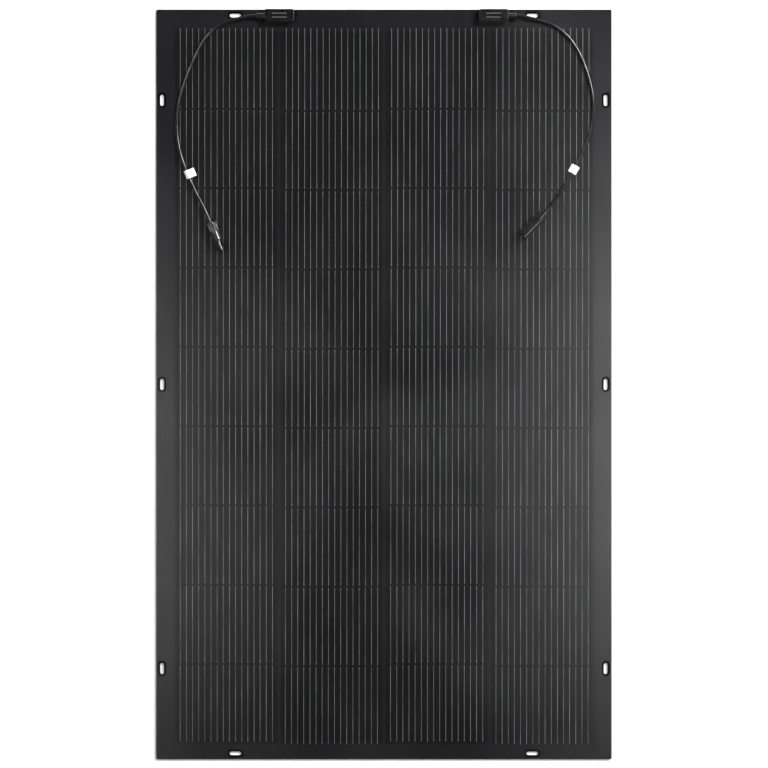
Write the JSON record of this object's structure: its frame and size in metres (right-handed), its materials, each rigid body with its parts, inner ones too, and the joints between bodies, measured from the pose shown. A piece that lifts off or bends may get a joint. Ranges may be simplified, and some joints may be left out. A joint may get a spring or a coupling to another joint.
{
  "type": "flexible solar sheet",
  "caption": "Thin bendable photovoltaic laminate with oblong edge slots, two junction boxes along one end, and short leads ending in latching plug connectors.",
  "frame": {"origin": "middle of the laminate's back face", "axes": "+Z out of the front face, +Y along the sheet towards the junction boxes, +X across it"},
  "size_m": [0.808, 1.33, 0.0201],
  "materials": {
    "board": "black glass-fibre laminate, satin",
    "encapsulant": "clear cured elastomer",
    "silicon": "black textured monocrystalline silicon",
    "tinned_copper": "tinned copper",
    "film": "clear embossed fluoropolymer over black, satin",
    "black_ribbon": "black coated copper ribbon",
    "box_plastic": "moulded black polyphenylene oxide",
    "diode_epoxy": "moulded epoxy",
    "lead_jacket": "cross-linked polyolefin jacket, satin",
    "label": "white sticker",
    "connector_plastic": "moulded black polyamide",
    "silicone": "dark red silicone",
    "seal_rubber": "black silicone"
  },
  "bodies": {
    "root": {"back_board_rows_1_3": "board", "rear_encapsulant_rows_1_3": "encapsulant", "cells_rows_1_3": "silicon", "cell_wires_rows_1_3": "tinned_copper", "front_encapsulant_rows_1_3": "encapsulant", "front_film_rows_1_3": "film", "top_bus_ribbons": "black_ribbon", "junction_box_base_left": "box_plastic", "junction_box_base_right": "box_plastic", "junction_box_lid_left": "box_plastic", "junction_box_lid_right": "box_plastic", "cable_gland_left": "box_plastic", "cable_gland_right": "box_plastic", "box_terminals": "tinned_copper", "bypass_diodes": "diode_epoxy", "lead_left": "lead_jacket", "lead_right": "lead_jacket", "lead_label_left": "label", "lead_label_right": "label", "probe_connector_body": "connector_plastic", "probe_seal_ring": "silicone", "probe_contact": "tinned_copper", "socket_connector_body": "connector_plastic", "socket_contact_pin": "tinned_copper", "connector_cable_seals": "seal_rubber"},
    "band_row_4": {"back_board_row_4": "board", "rear_encapsulant_row_4": "encapsulant", "cells_row_4": "silicon", "cell_wires_row_4": "tinned_copper", "front_encapsulant_row_4": "encapsulant", "front_film_row_4": "film"},
    "band_row_5": {"back_board_row_5": "board", "rear_encapsulant_row_5": "encapsulant", "cells_row_5": "silicon", "cell_wires_row_5": "tinned_copper", "front_encapsulant_row_5": "encapsulant", "front_film_row_5": "film"},
    "band_row_6": {"back_board_row_6": "board", "rear_encapsulant_row_6": "encapsulant", "cells_row_6": "silicon", "cell_wires_row_6": "tinned_copper", "front_encapsulant_row_6": "encapsulant", "front_film_row_6": "film"},
    "band_row_7": {"back_board_row_7": "board", "rear_encapsulant_row_7": "encapsulant", "cells_row_7": "silicon", "cell_wires_row_7": "tinned_copper", "front_encapsulant_row_7": "encapsulant", "front_film_row_7": "film"},
    "band_rows_8_9": {"back_board_rows_8_9": "board", "rear_encapsulant_rows_8_9": "encapsulant", "cells_rows_8_9": "silicon", "cell_wires_rows_8_9": "tinned_copper", "front_encapsulant_rows_8_9": "encapsulant", "front_film_rows_8_9": "film", "bottom_bus_ribbons": "black_ribbon"},
    "latch_finger_a": {"probe_latch_finger_a": "connector_plastic"},
    "latch_finger_b": {"probe_latch_finger_b": "connector_plastic"},
    "probe_nut": {"probe_cap_nut": "connector_plastic"},
    "socket_nut": {"socket_cap_nut": "connector_plastic"}
  },
  "joints": [
    {"name": "bend_below_row_3", "type": "hinge", "parent": "root", "child": "band_row_4", "pos_m": [0, 0.2056, 0.00125], "axis": [-1, 0, 0], "range_deg": [0, 15], "stiffness_Nm_per_rad": 50},
    {"name": "bend_below_row_4", "type": "hinge", "parent": "band_row_4", "child": "band_row_5", "pos_m": [0, 0.0649, 0.00125], "axis": [-1, 0, 0], "range_deg": [0, 15], "stiffness_Nm_per_rad": 50},
    {"name": "bend_below_row_5", "type": "hinge", "parent": "band_row_5", "child": "band_row_6", "pos_m": [0, -0.0758, 0.00125], "axis": [-1, 0, 0], "range_deg": [0, 15], "stiffness_Nm_per_rad": 50},
    {"name": "bend_below_row_6", "type": "hinge", "parent": "band_row_6", "child": "band_row_7", "pos_m": [0, -0.2165, 0.00125], "axis": [-1, 0, 0], "range_deg": [0, 15], "stiffness_Nm_per_rad": 50},
    {"name": "bend_below_row_7", "type": "hinge", "parent": "band_row_7", "child": "band_rows_8_9", "pos_m": [0, -0.3572, 0.00125], "axis": [-1, 0, 0], "range_deg": [0, 15], "stiffness_Nm_per_rad": 50},
    {"name": "latch_finger_a_flex", "type": "hinge", "parent": "root", "child": "latch_finger_a", "pos_m": [-0.28906, 0.25915, 0.01135], "axis": [0, 0, -1], "range_deg": [0, 4.5], "stiffness_Nm_per_rad": 0.3},
    {"name": "latch_finger_b_flex", "type": "hinge", "parent": "root", "child": "latch_finger_b", "pos_m": [-0.30111, 0.25428, 0.01135], "axis": [0, 0, 1], "range_deg": [0, 4.5], "stiffness_Nm_per_rad": 0.3},
    {"name": "probe_nut_turn", "type": "hinge", "parent": "root", "child": "probe_nut", "pos_m": [-0.307, 0.2862, 0.01135], "axis": [0.3746, -0.9272, 0], "continuous": true},
    {"name": "socket_nut_turn", "type": "hinge", "parent": "root", "child": "socket_nut", "pos_m": [0.2862, 0.3046, 0.01135], "axis": [-0.7071, -0.7071, 0], "continuous": true}
  ],
  "couplings": [
    {"joint": "bend_below_row_4", "follows": "bend_below_row_3", "ratio": 1},
    {"joint": "bend_below_row_5", "follows": "bend_below_row_3", "ratio": 1},
    {"joint": "bend_below_row_6", "follows": "bend_below_row_3", "ratio": 1},
    {"joint": "bend_below_row_7", "follows": "bend_below_row_3", "ratio": 1}
  ]
}
